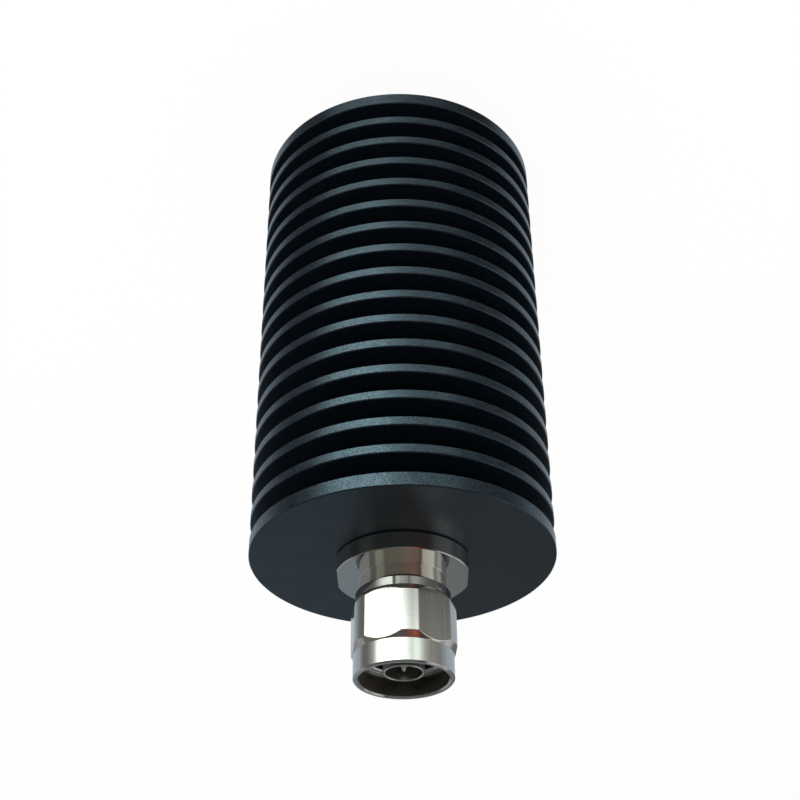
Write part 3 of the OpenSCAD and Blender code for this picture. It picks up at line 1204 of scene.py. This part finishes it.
class ATTENUATOR_OT_stage(bpy.types.Operator):
    """Set the camera, the floor, the lamps and the cards that the metal reflects."""

    bl_idname = "attenuator.stage"
    bl_label = "Stage"

    def execute(self, context):
        stage = context.scene.attenuator_stage
        deselect()
        bpy.ops.object.camera_add()
        camera = context.object
        camera.name = "camera"
        camera.data.lens = stage.lens
        camera.data.sensor_width = 36
        camera.data.clip_start = 0.01
        right, up = Vector(CAMERA_RIGHT), Vector(CAMERA_UP)
        view = Matrix((right, up, right.cross(up))).transposed().to_4x4()
        view.translation = Vector(CAMERA_PLACE) * MM
        camera.matrix_world = view
        context.scene.camera = camera

        deselect()
        bpy.ops.mesh.primitive_plane_add(size=8)
        floor = context.object
        floor.name = "floor"
        material, tree = new_material("pale_floor")
        share = add_node(
            tree, "ShaderNodeMath", {0: seen(tree), 1: 1 - stage.shadow}, operation="MULTIPLY"
        ).outputs["Value"]
        paint = add_node(tree, "ShaderNodeBsdfDiffuse", {"Color": (0.95, 0.95, 0.95, 1)})
        glow = add_node(tree, "ShaderNodeEmission", {"Strength": 1.0})
        mix = add_node(tree, "ShaderNodeMixShader", {"Fac": share})
        tree.links.new(paint.outputs["BSDF"], mix.inputs[1])
        tree.links.new(glow.outputs["Emission"], mix.inputs[2])
        output(tree, mix.outputs["Shader"])
        floor.data.materials.append(material)
        floor.visible_glossy = False

        world = bpy.data.worlds.new("studio")
        context.scene.world = world
        world.use_nodes = True
        tree = world.node_tree
        tree.nodes.clear()
        strength = add_node(
            tree, "ShaderNodeMapRange", {"Value": seen(tree), "To Min": stage.sky, "To Max": 1.0}
        ).outputs["Result"]
        sky = add_node(
            tree, "ShaderNodeBackground", {"Color": (1, 1, 1, 1), "Strength": strength}
        )
        add_node(tree, "ShaderNodeOutputWorld", {"Surface": sky.outputs["Background"]})
        world.cycles.sampling_method = "NONE"

        deselect()
        bpy.ops.object.light_add(type="AREA", location=(0.12, -0.75, 0.55))
        key = context.object
        key.name = "key_lamp"
        key.data.shape = "RECTANGLE"
        key.data.size, key.data.size_y = 0.7, 0.5
        key.data.energy = stage.key
        aim = Vector((0, 0, 0.07)) - key.location
        key.rotation_euler = aim.to_track_quat("-Z", "Y").to_euler()
        key.visible_glossy = False

        self.reflections(context)
        return {"FINISHED"}

    def reflections(self, context):
        """A dome of painted cards round the stage, seen in the object's reflections alone."""
        stage = context.scene.attenuator_stage
        deselect()
        bpy.ops.mesh.primitive_uv_sphere_add(segments=64, ring_count=32, radius=3)
        dome = context.object
        dome.name = "reflection_cards"
        material, tree = new_material("painted_cards")
        place = add_node(tree, "ShaderNodeTexCoord").outputs["Object"]
        way = add_node(
            tree, "ShaderNodeVectorMath", {0: place}, operation="NORMALIZE"
        ).outputs["Vector"]
        parts = add_node(tree, "ShaderNodeSeparateXYZ", {"Vector": way}).outputs
        across, ahead = (
            add_node(
                tree, "ShaderNodeMath", {0: parts[axis], 1: -1.0}, operation="MULTIPLY"
            ).outputs["Value"]
            for axis in ("X", "Y")
        )
        angle = add_node(
            tree, "ShaderNodeMath", {0: across, 1: ahead}, operation="ARCTAN2"
        ).outputs["Value"]
        azimuth = add_node(
            tree,
            "ShaderNodeMapRange",
            {"Value": angle, "From Min": -math.pi, "From Max": math.pi},
        ).outputs["Result"]
        height = parts["Z"]
        upward = add_node(
            tree, "ShaderNodeMapRange", {"Value": height, "From Min": -1.0, "From Max": 1.0}
        ).outputs["Result"]
        brightest = max(level for _, level in BOX_HEIGHT)
        box_height = [
            (math.sin(math.radians(elevation)) / 2 + 0.5, level / brightest)
            for elevation, level in BOX_HEIGHT
        ]
        lit = add_node(
            tree,
            "ShaderNodeVectorMath",
            {0: ramp(tree, azimuth, round_about(BOX)), 1: ramp(tree, upward, box_height)},
            operation="MULTIPLY",
        ).outputs["Vector"]
        box = add_node(
            tree,
            "ShaderNodeVectorMath",
            {0: lit, "Scale": stage.softbox * brightest},
            operation="SCALE",
        ).outputs["Vector"]
        sides = add_node(
            tree,
            "ShaderNodeVectorMath",
            {0: ramp(tree, azimuth, round_about(SIDES)), 1: box},
            operation="ADD",
        ).outputs["Vector"]
        barred = add_node(
            tree,
            "ShaderNodeMath",
            {
                0: ramp(tree, azimuth, round_about(BARS)),
                1: step_up(tree, height, *BARS_BEGIN),
            },
            operation="MULTIPLY",
        ).outputs["Value"]
        sides = blend(tree, barred, sides, rgba([BAR_LEVEL] * 3))
        back = ramp(tree, azimuth, round_about(BACK))
        above = ramp(tree, azimuth, round_about(ABOVE))
        wall = blend(tree, step_up(tree, height, *BACK_BEGINS), sides, back)
        wall = blend(tree, step_up(tree, height, *ABOVE_BEGINS), wall, above)
        wall = blend(tree, step_up(tree, height, *TOP_BEGINS), wall, rgba([TOP_LEVEL] * 3))
        glow = add_node(tree, "ShaderNodeEmission", {"Color": wall, "Strength": 1.0})
        output(tree, glow.outputs["Emission"])
        dome.data.materials.append(material)
        dome.visible_camera = False
        dome.visible_diffuse = False
        dome.visible_transmission = False
        dome.visible_volume_scatter = False
        dome.visible_shadow = False


class ATTENUATOR_PT_panel(bpy.types.Panel):
    """Lists the attenuator's steps and settings."""

    bl_idname = "ATTENUATOR_PT_panel"
    bl_label = "Coaxial attenuator"
    bl_space_type = "VIEW_3D"
    bl_region_type = "UI"
    bl_category = "Attenuator"

    def draw(self, context):
        for operator in OPERATORS:
            self.layout.operator(operator.bl_idname)
        for name in SETTINGS:
            group = getattr(context.scene, name)
            for key in group.__annotations__:
                self.layout.prop(group, key)


SETTINGS = {
    "attenuator_sink": SinkSettings,
    "attenuator_flange": FlangeSettings,
    "attenuator_thread": ThreadSettings,
    "attenuator_nut": NutSettings,
    "attenuator_finish": FinishSettings,
    "attenuator_stage": StageSettings,
}
OPERATORS = (
    ATTENUATOR_OT_stage,
    ATTENUATOR_OT_heat_sink,
    ATTENUATOR_OT_flanges,
    ATTENUATOR_OT_plug_body,
    ATTENUATOR_OT_coupling_nut,
    ATTENUATOR_OT_jack_shell,
    ATTENUATOR_OT_contacts,
    ATTENUATOR_OT_element,
)


def register():
    for group in (*SETTINGS.values(), *OPERATORS, ATTENUATOR_PT_panel):
        bpy.utils.register_class(group)
    for name, group in SETTINGS.items():
        setattr(bpy.types.Scene, name, PointerProperty(type=group))


def unregister():
    for name in SETTINGS:
        delattr(bpy.types.Scene, name)
    for group in reversed((*SETTINGS.values(), *OPERATORS, ATTENUATOR_PT_panel)):
        bpy.utils.unregister_class(group)


def main():
    register()
    bpy.ops.attenuator.stage()
    bpy.ops.attenuator.heat_sink()
    bpy.ops.attenuator.flanges()
    bpy.ops.attenuator.plug_body()
    bpy.ops.attenuator.coupling_nut()
    bpy.ops.attenuator.jack_shell()
    bpy.ops.attenuator.contacts()
    bpy.ops.attenuator.element()
    deselect()
    bpy.context.scene.view_settings.view_transform = "Standard"


if __name__ == "__main__":
    main()
